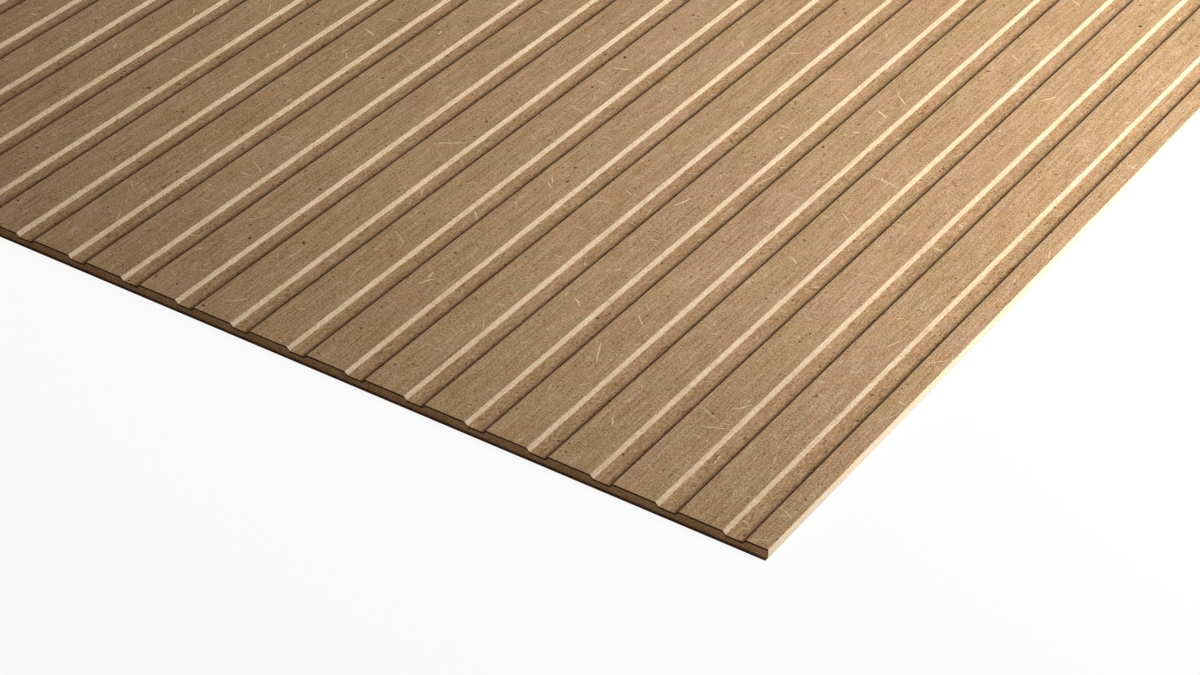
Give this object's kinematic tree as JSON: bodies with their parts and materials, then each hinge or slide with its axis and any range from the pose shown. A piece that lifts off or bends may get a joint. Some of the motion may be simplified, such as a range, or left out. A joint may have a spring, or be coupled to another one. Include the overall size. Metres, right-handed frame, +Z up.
{
  "type": "slatted fibreboard wall panel",
  "caption": "Flat sheet of raw fibreboard with wide, shallow, slope-sided grooves routed along its face, so that it reads as a row of flat slats. Panelling for a wall or ceiling.",
  "frame": {"origin": "centre of the flat back, on the surface that the sheet lies on", "axes": "+X across the slats, +Y along them, +Z up, out of the grooved face"},
  "size_m": [1.2, 2.4, 0.008],
  "materials": {
    "raw_fibreboard": "matte"
  },
  "bodies": {
    "root": {"grooved_panel": "raw_fibreboard"}
  },
  "joints": []
}
